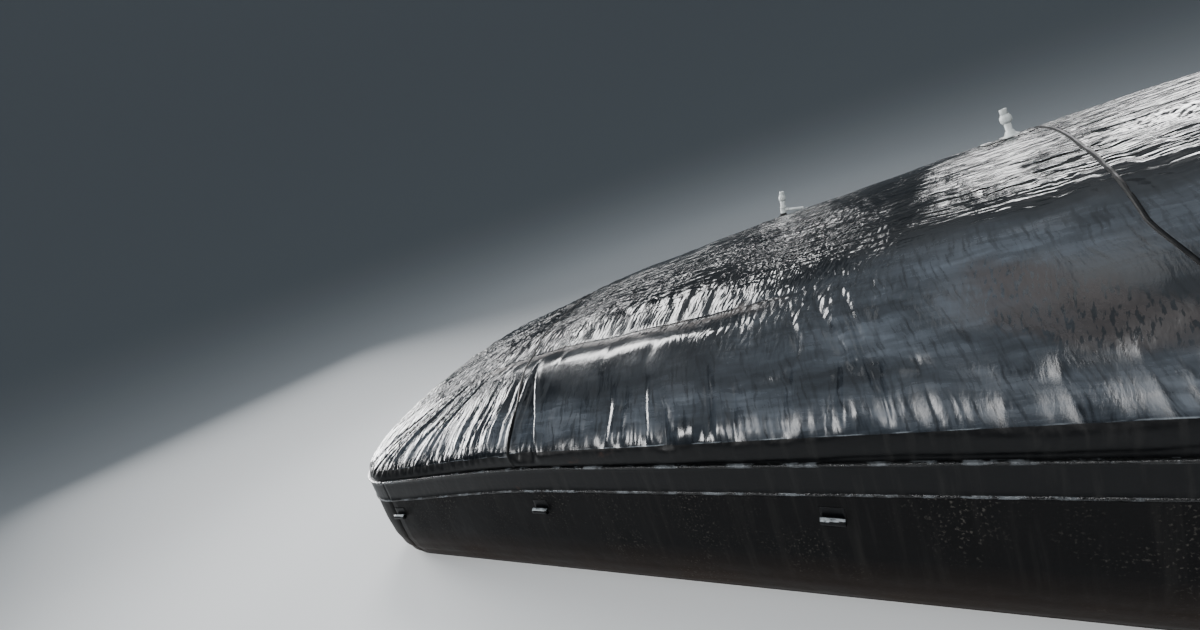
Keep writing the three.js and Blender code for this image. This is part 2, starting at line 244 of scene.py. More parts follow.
wall_runs = {
    "liner_front": (0.0, SIDE_RUN),
    "liner_right_end": (SIDE_RUN, END_RUN),
    "liner_back": (SIDE_RUN + END_RUN, SIDE_RUN),
    "liner_left_end": (2 * SIDE_RUN + END_RUN, END_RUN),
}
for name, (start, length) in wall_runs.items():
    bm = grid_of(round(length / 0.09), 22, wall_point(start, length))
    wall = finished_piece(f"{name}_sheet", bm, liner_finish, "liner", name)
    give_thickness(wall, SHEET_THICKNESS)

# The seam band.
# The liner's edge and the cover's edge lie over each other and are extrusion-welded along the top and the
# bottom, so the band stands proud of the wall, with a lip above and an uneven bead below.

# Its section: how far out from the footprint, and how far up from the seam. Three stretches of its corners
# are rough in their own ways. What lies above the upper depth or below the lower one is bead.
LOWER_BEAD = range(2, 6)
BAND_FACE = range(6, 10)
UPPER_BEAD = range(10, 14)
UPPER_BEAD_DEPTH = 0.022
LOWER_BEAD_DEPTH = 0.247
BAND_SECTION = [
    (-0.020, -0.268),
    (0.020, -0.270),
    (0.028, -0.268),
    (0.032, -0.260),
    (0.028, -0.251),
    (0.023, -0.246),
    (0.022, -0.200),
    (0.023, -0.130),
    (0.023, -0.060),
    (0.022, -0.026),
    (0.027, -0.018),
    (0.034, -0.012),
    (0.036, -0.004),
    (0.031, 0.002),
    (0.012, 0.003),
    (-0.020, 0.001),
]

# The bead itself: HDPE that has run molten from the extruder, so it is black and glossy, and ripples every
# 20 to 30 mm where the hand paused. It is painted pale grey in patches 50 to 200 mm long: a painted highlight
# for the glints of the glossy bead.
bead_finish = new_finish("glossy extruded HDPE bead")
place = add_node(bead_finish, "ShaderNodeTexCoord").outputs["Object"]
pattern = {}
for key, scale, detail in (("ripples", 36.0, 3.0), ("worn", 2.2, 5.0), ("patches", 7.0, 4.0)):
    inputs = {"Vector": place, "Scale": scale, "Detail": detail, "Roughness": 0.6}
    pattern[key] = add_node(bead_finish, "ShaderNodeTexNoise", inputs).outputs["Fac"]
share = {}
for key, value, low, high, start, end in (
    ("dullness", pattern["worn"], 0.35, 0.65, 0.1, 0.42),
    ("dust", pattern["patches"], 0.5, 0.62, 0.0, 0.42),
):
    limits = {"Value": value, "From Min": low, "From Max": high, "To Min": start, "To Max": end}
    share[key] = add_node(bead_finish, "ShaderNodeMapRange", limits).outputs[0]
# The share called dust paints the bead pale grey in broken patches: a painted highlight for the glints of the
# glossy bead.
inputs = {"Factor": share["dust"], 6: linear_colour("#08090a"), 7: linear_colour("#81878c")}
colour = add_node(bead_finish, "ShaderNodeMix", inputs, data_type="RGBA").outputs[2]
inputs = {"Height": pattern["ripples"], "Strength": 1.0, "Distance": 0.012}
relief = add_node(bead_finish, "ShaderNodeBump", inputs).outputs[0]
inputs = {"Base Color": colour, "Roughness": share["dullness"], "Normal": relief, "IOR": 1.52}
surface = add_node(bead_finish, "ShaderNodeBsdfPrincipled", inputs)
add_node(bead_finish, "ShaderNodeOutputMaterial", {"Surface": surface.outputs[0]})

# HDPE sheet beside a weld: black, scuffed dull by the grinder before welding, with dust drawn down it by rain
# in streaks 20 to 70 mm apart, and a few splashes of brown soil.
weld_finish = new_finish("scuffed HDPE sheet")
place = add_node(weld_finish, "ShaderNodeTexCoord").outputs["Object"]
drawn_out = add_node(weld_finish, "ShaderNodeMapping", {"Vector": place, "Scale": (14.0, 14.0, 1.2)})
pattern = {}
for key, laid_on, scale, detail, roughness in (
    ("streaks", drawn_out.outputs[0], 1.0, 5.0, 0.6),
    ("splashes", place, 1.7, 7.0, 0.65),
    ("dents", place, 28.0, 3.0, 0.5),
):
    inputs = {"Vector": laid_on, "Scale": scale, "Detail": detail, "Roughness": roughness}
    pattern[key] = add_node(weld_finish, "ShaderNodeTexNoise", inputs).outputs["Fac"]
share = {}
for key, value, low, high, start, end in (
    ("dust", pattern["streaks"], 0.52, 0.8, 0.0, 0.45),
    ("soil", pattern["splashes"], 0.63, 0.72, 0.0, 0.6),
    ("dullness", pattern["streaks"], 0.3, 0.7, 0.34, 0.54),
):
    limits = {"Value": value, "From Min": low, "From Max": high, "To Min": start, "To Max": end}
    share[key] = add_node(weld_finish, "ShaderNodeMapRange", limits).outputs[0]
colour = linear_colour("#08090b")
for key, over_colour in (("dust", "#30302f"), ("soil", "#4a3327")):
    inputs = {"Factor": share[key], 6: colour, 7: linear_colour(over_colour)}
    colour = add_node(weld_finish, "ShaderNodeMix", inputs, data_type="RGBA").outputs[2]
inputs = {"Height": pattern["dents"], "Strength": 0.45, "Distance": 0.004}
relief = add_node(weld_finish, "ShaderNodeBump", inputs).outputs[0]
surface = add_node(
    weld_finish,
    "ShaderNodeBsdfPrincipled",
    {
        "Base Color": colour,
        "Roughness": share["dullness"],
        "Normal": relief,
        "IOR": 1.52,
        "Specular IOR Level": 0.19,
    },
)
add_node(weld_finish, "ShaderNodeOutputMaterial", {"Surface": surface.outputs[0]})


def band_point(start, length):
    def place_point(along, round_share):
        run = start + along * length
        spot, out = outline(run)
        corner = round(round_share * len(BAND_SECTION)) % len(BAND_SECTION)
        proud, up = BAND_SECTION[corner]
        ragged = noise.noise(Vector((run * 5.0, 1.0, 0.0))) * 0.6
        ragged += noise.noise(Vector((run * 19.0, 4.0, 0.0))) * 0.4
        if corner in UPPER_BEAD:
            proud += 0.006 * ragged
            up += 0.004 * noise.noise(Vector((run * 2.4, 7.0, 0.0)))
        elif corner in LOWER_BEAD:
            proud += 0.005 * ragged
            up += 0.006 * noise.noise(Vector((run * 9.0, 2.0, 0.0)))
        elif corner in BAND_FACE:
            proud += 0.006 * noise.noise(Vector((run * 2.0, up * 3.0, 5.0)))
        spot.z = seam_height(spot.x) + up
        return spot + out * proud

    return place_point


for name, (start, length) in wall_runs.items():
    band = name.replace("liner", "seam_band")
    bm = grid_of(round(length / 0.035), len(BAND_SECTION), band_point(start, length))
    for face in bm.faces:
        middle = face.calc_center_median()
        below = seam_height(middle.x) - middle.z
        face.material_index = 0 if UPPER_BEAD_DEPTH <= below <= LOWER_BEAD_DEPTH else 1
    bmesh.ops.remove_doubles(bm, verts=bm.verts, dist=1e-6)
    bmesh.ops.holes_fill(bm, edges=[edge for edge in bm.edges if edge.is_boundary])
    bmesh.ops.recalc_face_normals(bm, faces=bm.faces)
    piece = finished_piece(f"{band}_weld", bm, weld_finish, "weld", band)
    piece.data.materials.append(bead_finish)

# The inflated cover.
# Five sheets of 1 mm HDPE, the middle three 4.9 m wide between welds, blown up by the gas under them. The
# seam holds the foot shorter than the sheet, so it gathers in pleats there, and in long ones over the ends.
CROWN_RISE = 1.745
END_RISE = 0.54
END_ROUNDING = 0.45
MIDDLE_ROUNDING = 0.9
TURN_RUN = 0.7
HALF_RUN = HALF_LENGTH - END_ROUNDING + TURN_RUN
WELD_X = (-7.35, -2.45, 2.45, 7.35)
WELD_BOW = 0.62
WELD_TUCK = 0.34
TUCK_START = 0.7
SPINE_END = 7.7
END_RADIUS = (END_RUN + 2 * (CORNER_X - SPINE_END)) / math.pi
PLEAT_ROUND = 4 * SPINE_END + 2 * math.pi * END_RADIUS
PIPE_SPOTS = ((-5.15, 1.25), (-2.68, 0.5))
SLACK_START = 6.9
GUSSET_HEIGHT = 1.25
NORMAL_STEP = 0.004


def half_width(x):
    return CORNER_Y + math.sqrt(max(CORNER**2 - max(abs(x) - CORNER_X, 0.0) ** 2, 0.0))


def plain_cover(x, angle):
    """The cover without its folds, at x and an angle over it from the front seam."""
    turned = min((HALF_LENGTH - abs(x)) / END_ROUNDING, 1.0)
    climb = 1.0 - (math.hypot(x, MIDDLE_ROUNDING) / HALF_LENGTH) ** 1.22
    rise = math.sqrt(max(1.0 - (1.0 - turned) ** 2, 0.0)) * (END_RISE + (CROWN_RISE - END_RISE) * climb)
    return Vector((x, -half_width(x) * math.cos(angle), seam_height(x) + rise * math.sin(angle)))


def cover_base(run, angle):
    """The same by a run along the crown. Lines over the cover bow and are tucked in as the welds are."""
    from_end = HALF_RUN - abs(run)
    if from_end < TURN_RUN:
        from_end = END_ROUNDING * (1.0 - math.cos(from_end / TURN_RUN * math.pi / 2))
    else:
        from_end += END_ROUNDING - TURN_RUN
    reach = HALF_LENGTH - from_end
    share = (reach / WELD_X[3]) ** 4 if reach < WELD_X[3] else from_end / (HALF_LENGTH - WELD_X[3])
    tuck_share = min(reach / WELD_X[2], max(DIP_START - reach, 0.0) / (DIP_START - WELD_X[2]))
    low = max(abs(math.cos(angle)) - TUCK_START, 0.0) / (1.0 - TUCK_START)
    reach += WELD_BOW * share * math.sin(angle) ** 3 - WELD_TUCK * tuck_share * low**1.3
    return plain_cover(math.copysign(min(reach, HALF_LENGTH), run), angle)


def inside_outline(x, y):
    """How far a point lies inside the seam, seen from above."""
    past_x = abs(x) - CORNER_X
    past_y = abs(y) - CORNER_Y
    if past_x > 0 and past_y > 0:
        return CORNER - math.hypot(past_x, past_y)
    return min(HALF_LENGTH - abs(x), HALF_WIDTH - abs(y))


def up_sheet(point):
    """How far a point of the cover is from the seam."""
    return math.hypot(max(inside_outline(point.x, point.y), 0.0), max(point.z - seam_height(point.x), 0.0))


def place_round(x, y):
    """Where a point's pleat meets the seam, as a distance round the digester."""
    if abs(x) <= SPINE_END:
        return x if y < 0 else 2 * SPINE_END + math.pi * END_RADIUS - x
    swing = math.atan2(abs(x) - SPINE_END, -y) * END_RADIUS
    return SPINE_END + swing if x > 0 else -SPINE_END - swing


def fold_lines(seed, narrowest, widest):
    """Where the creases between pleats meet the seam, and how high each pleat stands."""
    chance = random.Random(seed)
    lines = [0.0]
    while lines[-1] < PLEAT_ROUND:
        lines.append(lines[-1] + chance.uniform(narrowest, widest))
    fit = PLEAT_ROUND / lines[-1]
    return [line * fit for line in lines], [chance.uniform(0.3, 1.25) for _ in lines]


def pleat(lines, place):
    """A rounded pleat between two sharp creases: from -0.6 in a crease to 0.4 on a crest."""
    creases, heights = lines
    place %= PLEAT_ROUND
    i = min(bisect.bisect_right(creases, place), len(creases) - 1)
    share = (place - creases[i - 1]) / (creases[i] - creases[i - 1])
    return heights[i] * (4.0 * share * (1.0 - share) - 0.6)


fine_pleats = fold_lines(3, 0.07, 0.15)
middle_pleats = fold_lines(5, 0.14, 0.42)
long_pleats = fold_lines(8, 0.35, 0.8)


def between(value, a, b, c, d):
    """Goes smoothly from 0 to 1 between a and b, and back to 0 between c and d."""
    return ease(a, b, value) - ease(c, d, value)


def waver(value, seed, frequency):
    """A slow change along a line, from about -0.5 to 0.5."""
    return noise.noise(Vector((value * frequency, seed, 0.0)))


def slack_roll(height):
    """The slack stands out over the band's lip, leans in from there and ends in a crease."""
    if height < 0.14:
        return (height / 0.14) ** 0.6
    if height < 0.52:
        return 1.0 - 1.15 * (height - 0.14) / 0.38
    return -0.15 * (1.0 - ease(0.52, 0.8, height))


# The shoulder's lap weld, 1.4 m up the sheet, pulls it in, and the sheet bulges out below and above. Each
# pair is a distance up the sheet, and how far out it stands there.
SHOULDER = ((0.7, 0.0), (1.12, 0.03), (1.41, -0.034), (1.83, 0.026), (2.25, 0.0))


def shoulder_bulge(height):
    for (low, start), (high, end) in zip(SHOULDER, SHOULDER[1:]):
        if low < height <= high:
            return start + (end - start) * (height - low) / (high - low)
    return 0.0


# Single creases seen on the near side: points of distance along and up the sheet, depth, and half width.
CREASES = [
    ([(4.41, 1.22), (4.38, 1.12), (4.33, 1.00), (4.25, 0.81), (4.18, 0.66)], 0.024, 0.06),
    ([(4.22, 1.28), (4.17, 1.10), (4.12, 0.86), (4.05, 0.50)], 0.024, 0.05),
    ([(4.62, 1.15), (4.55, 0.85), (4.66, 0.62), (4.85, 0.56)], 0.022, 0.05),
    ([(4.18, 0.66), (3.95, 0.60), (3.72, 0.62)], 0.020, 0.04),
    ([(6.30, 1.46), (6.22, 1.70), (6.10, 1.98)], 0.026, 0.04),
    ([(5.72, 1.46), (5.64, 1.72), (5.55, 2.02)], 0.026, 0.04),
    ([(5.42, 1.48), (5.36, 1.75), (5.30, 2.05)], 0.020, 0.05),
    ([(7.10, 1.46), (6.95, 1.75), (6.75, 2.10)], 0.030, 0.04),
    ([(3.55, 1.55), (3.20, 1.62), (2.75, 1.60)], 0.012, 0.05),
    ([(3.80, 2.05), (3.30, 2.20), (2.85, 2.12)], 0.012, 0.05),
]


def single_creases(reach, height):
    """How deep the single creases are at a distance along and up the sheet."""
    depth = 0.0
    for points, deepest, half in CREASES:
        near = half
        for (x0, h0), (x1, h1) in zip(points, points[1:]):
            span = (x1 - x0) ** 2 + (h1 - h0) ** 2
            share = min(max(((reach - x0) * (x1 - x0) + (height - h0) * (h1 - h0)) / span, 0.0), 1.0)
            near = min(near, math.hypot(reach - x0 - share * (x1 - x0), height - h0 - share * (h1 - h0)))
        depth += deepest * (1.0 - near / half) ** 1.5
    return depth


def fold_height(point):
    """How far the sheet's folds push it out at a point of the plain cover."""
    x, y, z = point
    height = up_sheet(point)
    at_end = ease(SLACK_START, 8.8, abs(x))
    place = place_round(x, y)
    drift = noise.noise(point * 1.1) * 0.09 + noise.noise(point * 3.6) * 0.022
    drift += waver(place, 1.0, 1.7) * 0.35 * min(height, 0.6)
    patch = 0.3 + 0.9 * ease(-0.25, 0.25, waver(place, 2.0, 0.8))

    fine = pleat(fine_pleats, place + drift)
    middle = pleat(middle_pleats, place + 1.5 * drift)
    long = pleat(long_pleats, place + 2.0 * drift)

    # Along the sides: short pleats over the slack's roll, the shoulder and the single creases.
    up = height * (1.0 + 0.35 * waver(place, 6.0, 1.1) + 0.2 * waver(place, 7.0, 3.1))
    up = max(up - 0.055 * (1.0 - ease(2.0, 7.0, abs(x))), 0.0)
    side = fine * patch * 0.01 * between(up, 0.12, 0.18, 0.3, 0.5)
    side += middle * patch * 0.038 * between(up, 0.12, 0.26, 0.46, 0.76)
    side += long * 0.01 * between(height, 0.4, 0.9, 2.0, 3.0)
    side += (0.055 + 0.03 * waver(place, 4.0, 0.6)) * slack_roll(up)
    if x * y > 0.0 and 2.5 < abs(x) < 9.0:
        side += shoulder_bulge(height) * between(abs(x), 4.4, 5.4, 8.2, 8.9)
        side -= single_creases(abs(x), height) if abs(x) < 7.4 else 0.0

    # Round the ends: all three kinds of pleat, fanned out from the seam.
    end = fine * 0.017 * between(height, 0.03, 0.1, 0.7, 1.6)
    end += middle * 0.026 * between(height, 0.03, 0.2, 1.0, 2.4)
    end += long * 0.022 * between(height, 0.2, 0.6, 1.8, 3.0)
    out = side + (end - side) * at_end

    # Broad waves everywhere, and high up shallow creases that slant over the cover.
    out += noise.noise(point * 0.8) * 0.02 * ease(0.3, 1.0, height)
    out += noise.noise(point * 2.3 + Vector((5.0, 0.0, 0.0))) * 0.007 * ease(0.2, 0.6, height)
    high_up = ease(1.2, 1.8, height)
    if high_up > 0.0:
        slant = Vector((x * 9.0 + y * 3.5, y * 2.0, z * 2.0))
        rough = ease(-0.3, 0.25, noise.noise(point * 0.7 + Vector((0.0, 9.0, 0.0))))
        out -= 0.012 * high_up * rough * (1.0 - abs(noise.noise(slant))) ** 4

    # The gusset beside the outer cross welds: a wedge taken in, widest at the foot, with ridges along it.
    from_middle = abs(abs(x) - (7.18 + 0.2 * (height - 0.15)))
    half = 0.16 * (1.0 - ease(0.1, GUSSET_HEIGHT, height))
    if abs(y) > 1.0 and height < GUSSET_HEIGHT and from_middle < half + 0.12:
        out -= 0.055 * ease(0.02, 0.15, height) * (1.0 - ease(0.5 * half, half + 0.01, from_middle))
        out += 0.014 * ease(0.02, 0.15, height) * max(1.0 - abs(from_middle - half - 0.03) / 0.05, 0.0)

    # The sheet is smooth where the pipes' patches hold it.
    for pipe_x, pipe_y in PIPE_SPOTS:
        out *= ease(0.07, 0.35, math.hypot(x - pipe_x, y - pipe_y))
    return out


def cover_surface(run, angle, lift=0.0):
    """A point of the folded cover, lifted off it along its normal."""
    here = cover_base(run, angle)
    run_a, run_b = max(run - NORMAL_STEP, -HALF_RUN), min(run + NORMAL_STEP, HALF_RUN)
    angle_a, angle_b = max(angle - NORMAL_STEP, 0.0), min(angle + NORMAL_STEP, math.pi)
    along = cover_base(run_b, angle) - cover_base(run_a, angle)
    over = cover_base(run, angle_b) - cover_base(run, angle_a)
    out = along.cross(over)
    out = out.normalized() if out.length > 1e-12 else Vector((math.copysign(1.0, run), 0.0, 0.0))
    return here + out * (fold_height(here) + lift)


def graded_angle(share):
    """Angles over the cover, close together near both seams and wider apart over the crown."""
    nearer = 1.0 - abs(1.0 - 2.0 * share)
    angle = math.pi / 2 * nearer**1.5
    return angle if share <= 0.5 else math.pi - angle


def crease_shares(point, height):
    """How strongly each kind of small crease shows, from 0 to 1: over the cover, along it, and crumpled."""
    reach = abs(point.x)
    rough = ease(-0.25, 0.25, noise.noise(point * 1.1 + Vector((3.0, 0.0, 0.0))))
    over = between(height, 1.35, 1.55, 2.6, 3.3) * ease(3.6, 4.7, reach) * (0.25 + 0.75 * rough)
    over = max(over, 0.75 * ease(SLACK_START, 8.2, reach))
    along = ease(1.5 + 0.5 * noise.noise(point * 1.7), 2.5, height) * (0.35 + 0.65 * rough)
    along *= 1.0 - 0.7 * ease(SLACK_START, 8.4, reach)
    ragged = 0.35 * noise.noise(point * 1.3)
    crumple = between(reach + ragged, 3.5, 4.2, 5.0, 6.0) * ease(0.7, 1.3, height + ragged)
    crumple *= 1.0 - 0.6 * ease(2.2, 2.9, height)
    beside_weld = between(reach + ragged, 1.3, 1.6, 2.0, 2.4) * between(height + ragged, 2.1, 2.4, 2.7, 3.0)
    if point.x * point.y > 0:
        crumple = max(crumple, beside_weld)
        along *= 1.0 - 0.85 * beside_weld
    return over, along, crumple


def dusted(point, height):
    """How much grey dust the rain has left, from 0 to 1: it runs off the crown and stays on the sides."""
    reach = abs(point.x)
    cloud = noise.noise(point * 0.9 + Vector((0.0, 4.0, 0.0)))
    share = between(height, 0.3, 0.75, 1.3, 1.85) * (0.9 + 0.7 * cloud) * (1.0 - 0.8 * ease(3.2, 5.6, reach))
    share *= 1.0 - 0.75 * between(reach, 1.8, 2.2, 2.7, 3.3) * (1.0 - ease(1.0, 1.4, height))
    return max(share, 0.75 * between(height, 0.12, 0.3, 0.4, 0.8))


def stained(point, height):
    """Brown residue: a line of dirt caught under the shoulder weld, and a film beside an inner cross weld."""
    reach = abs(point.x)
    ragged = 0.07 * noise.noise(point * 5.0) + 0.05 * noise.noise(point * 1.7)
    caught = between(height + 0.7 * ragged, 1.24, 1.36, 1.39, 1.42) * between(reach, 4.5, 5.2, 8.2, 8.8)
    top = 1.45 - 0.5 * ease(3.3, 2.35, reach)
    foot = 0.80 - 0.22 * ease(3.4, 2.8, reach)
    film = ease(foot - 0.03, foot + 0.08, height + ragged) - ease(top - 0.25, top, height + ragged)
    film *= between(reach + ragged, 1.5, 2.0, 3.2, 3.65) * (0.5 + 0.25 * ease(foot, top, height))
    return caught + film if point.x * point.y > 0 else caught


# Blown HDPE sheet, wet from rain: near black under a hard gloss. Over the cover it is drawn into creases
# 35 mm wide and 400 mm long, along the crown into longer ones, and in places it is crumpled more sharply.
# Grey dust lies on the sides in soft clouds, broken by the tracks of drops, 30 mm wide. Brown residue lies
# where run-off was caught, with drop marks 25 mm wide and 100 mm long. A broken pale grey line along the top
# edge of the scuffed foot is a painted highlight. A lap weld runs along each shoulder, with a thin band of
# painted shade under its lapped edge.
COVER_LAYERS = ("over", "along", "crumpled", "dusted", "stained", "up_sheet", "shoulder", "highlight_rim")
cover_finish = new_finish("glossy blown HDPE sheet")
place = add_node(cover_finish, "ShaderNodeTexCoord").outputs["Object"]
on_sheet = add_node(cover_finish, "ShaderNodeUVMap", uv_map="sheet metres").outputs[0]
painted = {}
for layer in COVER_LAYERS:
    painted[layer] = add_node(cover_finish, "ShaderNodeAttribute", attribute_name=layer).outputs["Fac"]
warp = add_node(cover_finish, "ShaderNodeTexNoise", {"Vector": place, "Scale": 3.0, "Detail": 3.0})
inputs = {0: warp.outputs["Color"], 1: (0.12, 0.12, 0.12), 2: on_sheet}
warped = add_node(cover_finish, "ShaderNodeVectorMath", inputs, operation="MULTIPLY_ADD").outputs[0]

# What each pattern is laid on, its size along and over the sheet in metres, its turn, detail and roughness.
pattern = {}
for key, laid_on, size, turn, detail, roughness in (
    ("drips", warped, (0.030, 0.26, 1.0), 0.0, 2.0, 0.5),
    ("drops", on_sheet, (0.023, 0.105, 1.0), -0.4, 2.0, 0.5),
    ("specks", warped, (0.030, 0.045, 1.0), 0.0, 3.0, 0.6),
    ("smears", warped, (0.45, 0.07, 1.0), 0.1, 5.0, 0.6),
    ("clouds", warped, (0.8, 0.55, 1.0), 0.0, 6.0, 0.6),
    ("along", warped, (0.6, 0.085, 1.0), 0.06, 2.5, 0.5),
    ("fine", warped, (0.06, 0.22, 1.0), -0.25, 4.0, 0.6),
):
    inputs = {"Vector": laid_on, "Rotation": (0.0, 0.0, turn), "Scale": size}
    laid = add_node(cover_finish, "ShaderNodeMapping", inputs, vector_type="TEXTURE").outputs[0]
    inputs = {"Vector": laid, "Scale": 1.0, "Detail": detail, "Roughness": roughness}
    pattern[key] = add_node(cover_finish, "ShaderNodeTexNoise", inputs).outputs["Fac"]
for key, size, turn in (("over", (0.036, 0.42, 1.0), -0.25), ("crumpled", (0.055, 0.2, 1.0), -0.3)):
    inputs = {"Vector": warped, "Rotation": (0.0, 0.0, turn), "Scale": size}
    laid = add_node(cover_finish, "ShaderNodeMapping", inputs, vector_type="TEXTURE").outputs[0]
    facets = add_node(
        cover_finish,
        "ShaderNodeTexVoronoi",
        {"Vector": laid, "Scale": 1.0, "Randomness": 1.0},
        feature="DISTANCE_TO_EDGE",
        voronoi_dimensions="2D",
    )
    pattern[key] = facets.outputs["Distance"]

# How strongly each shows, from a range of its pattern's or layer's values.
share = {}
for key, value, low, high, start, end in (
    ("tracks", pattern["drips"], 0.5, 0.72, 0.0, 0.65),
    ("cloudy", pattern["clouds"], 0.38, 0.62, 0.35, 1.15),
    ("smeared", pattern["smears"], 0.42, 0.66, 0.75, 1.35),
    ("gaps", pattern["specks"], 0.42, 0.66, 1.0, 0.7),
    ("runs", pattern["drops"], 0.54, 0.6, 1.0, 0.0),
    # A thin band along the shoulder's lap weld, 1.4 m up the sheet: it carries the lap's relief and painted
    # shade under the lapped edge.
    ("below lap", painted["up_sheet"], 1.375, 1.395, 0.0, 1.0),
    ("above lap", painted["up_sheet"], 1.425, 1.4, 0.0, 1.0),
    ("wet", pattern["clouds"], 0.35, 0.65, 0.1, 0.22),
    # The rim layer, broken by the smears, marks the foot's upper edge for a painted highlight line.
    ("edge", painted["highlight_rim"], 0.62, 0.8, 0.0, 1.0),
    ("broken", pattern["smears"], 0.47, 0.6, 0.0, 0.7),
):
    limits = {"Value": value, "From Min": low, "From Max": high, "To Min": start, "To Max": end}
    share[key] = add_node(cover_finish, "ShaderNodeMapRange", limits).outputs[0]
for key, first, second, operation in (
    ("lap", "below lap", "above lap", "MULTIPLY"),
    ("shoulder", "lap", painted["shoulder"], "MULTIPLY"),
    ("dust", painted["dusted"], "cloudy", "MULTIPLY"),
    ("smeared dust", "dust", "smeared", "MULTIPLY"),
    ("washed", "smeared dust", "tracks", "MULTIPLY"),
    ("left dust", "smeared dust", "washed", "SUBTRACT"),
    ("drained", "gaps", "runs", "MULTIPLY"),
    ("residue", painted["stained"], "drained", "MULTIPLY"),
    ("over", pattern["over"], painted["over"], "MULTIPLY"),
    ("along", pattern["along"], painted["along"], "MULTIPLY"),
    ("crumpled", pattern["crumpled"], painted["crumpled"], "MULTIPLY"),
    ("highlight_rim", "edge", "broken", "MULTIPLY"),
):
    first, second = (share[side] if isinstance(side, str) else side for side in (first, second))
    inputs = {0: first, 1: second}
    share[key] = add_node(cover_finish, "ShaderNodeMath", inputs, operation=operation).outputs[0]

# Over the black sheet: real grey dust, painted shade along the shoulder's lap weld, brown residue, and a
# painted highlight along the foot's upper edge.
colour = linear_colour("#0a0c0f")
for key, over_colour in (
    ("left dust", "#474f58"),
    ("shoulder", "#060708"),
    ("residue", "#38312f"),
    ("highlight_rim", "#8d949a"),
):
    inputs = {"Factor": share[key], 6: colour, 7: linear_colour(over_colour)}
    colour = add_node(cover_finish, "ShaderNodeMix", inputs, data_type="RGBA").outputs[2]
dulled = share["wet"]
for key, extra in (("left dust", 0.22), ("residue", 0.25)):
    inputs = {0: share[key], 1: extra, 2: dulled}
    dulled = add_node(cover_finish, "ShaderNodeMath", inputs, operation="MULTIPLY_ADD").outputs[0]

# Creases, crumples, drawn ridges, fine wrinkles and the lap weld, each with its relief's depth in metres.
relief = None
for height, depth in (
    (share["over"], 0.014),
    (share["crumpled"], 0.011),
    (share["along"], 0.11),
    (pattern["fine"], 0.004),
    (share["shoulder"], 0.006),
):
    inputs = {"Height": height, "Strength": 1.0, "Distance": depth}
    if relief:
        inputs["Normal"] = relief
    relief = add_node(cover_finish, "ShaderNodeBump", inputs).outputs[0]
inputs = {"Base Color": colour, "Roughness": dulled, "Normal": relief, "IOR": 1.54}
surface = add_node(cover_finish, "ShaderNodeBsdfPrincipled", inputs)
add_node(cover_finish, "ShaderNodeOutputMaterial", {"Surface": surface.outputs[0]})

# How high the scuffed foot is: an angle over the cover along the sides, and metres up the sheet at the ends.
# The sheet's edge is tucked below the seam.
FOOT_ANGLE = math.radians(8.8)
FOOT_AT_END = 0.13
FOOT_TUCK = 0.025


def cover_sheet(name, run_from, run_to, columns, rows, angle_of):
    """One sheet of the cover, folded. Its foot is scuffed, and tucked down behind the seam band's lip."""
    bm = bmesh.new()
    bmesh.ops.create_grid(bm, x_segments=columns, y_segments=rows, size=0.5)
    sheet_metres = bm.loops.layers.uv.new("sheet metres")
    layers = {key: bm.verts.layers.float.new(key) for key in COVER_LAYERS}
    lines = {}
    for vertex in bm.verts:
        lines.setdefault(round(vertex.co.x, 6), []).append(vertex)
    uvs = {}
    foot = set()
    for along, line in lines.items():
        run = run_from + (run_to - run_from) * (along + 0.5)
        line.sort(key=lambda vertex: vertex.co.y)
        reach = 0.0
        before = None
        for vertex in line:
            angle = angle_of(vertex.co.y + 0.5)
            plain = cover_base(run, angle)
            if before:
                reach += (plain - before).length
            before = plain
            height = up_sheet(plain)
            shoulder = between(abs(plain.x), 4.4, 5.0, 8.4, 8.9) if plain.x * plain.y > 0 else 0.0
            residue = stained(plain, height)
            dust = dusted(plain, height) * (1.0 - residue)
            values = (*crease_shares(plain, height), dust, residue, height, shoulder, 0.0)
            for key, value in zip(COVER_LAYERS, values):
                vertex[layers[key]] = value
            if abs(run) <= WELD_X[3]:
                low_down = min(angle, math.pi - angle) < FOOT_ANGLE
            else:
                low_down = height < FOOT_AT_END
            if low_down:
                foot.add(vertex)
            uvs[vertex] = (run, reach)
            vertex.co = cover_surface(run, angle)
        if abs(run) < HALF_RUN - 1e-6:
            line[0].co.z -= FOOT_TUCK
            line[-1].co.z -= FOOT_TUCK
        else:
            for vertex in line:
                vertex.co.z -= FOOT_TUCK
    for face in bm.faces:
        for loop in face.loops:
            loop[sheet_metres].uv = uvs[loop.vert]
        if foot.issuperset(face.verts):
            face.material_index = 1
        elif not foot.isdisjoint(face.verts):
            # Corners on the foot's upper edge mark where the painted highlight line runs.
            for vertex in foot.intersection(face.verts):
                vertex[layers["highlight_rim"]] = 1.0
    sheet = finished_piece(f"{name}_sheet", bm, cover_finish, "cover", name)
    sheet.data.materials.append(weld_finish)
    give_thickness(sheet, SHEET_THICKNESS)
    return sheet


def even_angle(share):
    return math.pi * share


for name, run_from, run_to, columns, rows, angle_of, cut, cut_area in (
    ("cover_left_end", -HALF_RUN, WELD_X[0], 150, 296, even_angle, (3.4, 7.0), 19.0),
    ("cover_left", WELD_X[0], WELD_X[1], 268, 124, graded_angle, (5.0, 7.5), 37.5),
    ("cover_middle", WELD_X[1], WELD_X[2], 268, 124, graded_angle, (5.0, 7.5), 37.5),
    ("cover_right", WELD_X[2], WELD_X[3], 268, 124, graded_angle, (5.0, 7.5), 37.5),
    ("cover_right_end", WELD_X[3], HALF_RUN, 150, 296, even_angle, (3.4, 7.0), 19.0),
):
    sheet = cover_sheet(name, run_from, run_to, columns, rows, angle_of)

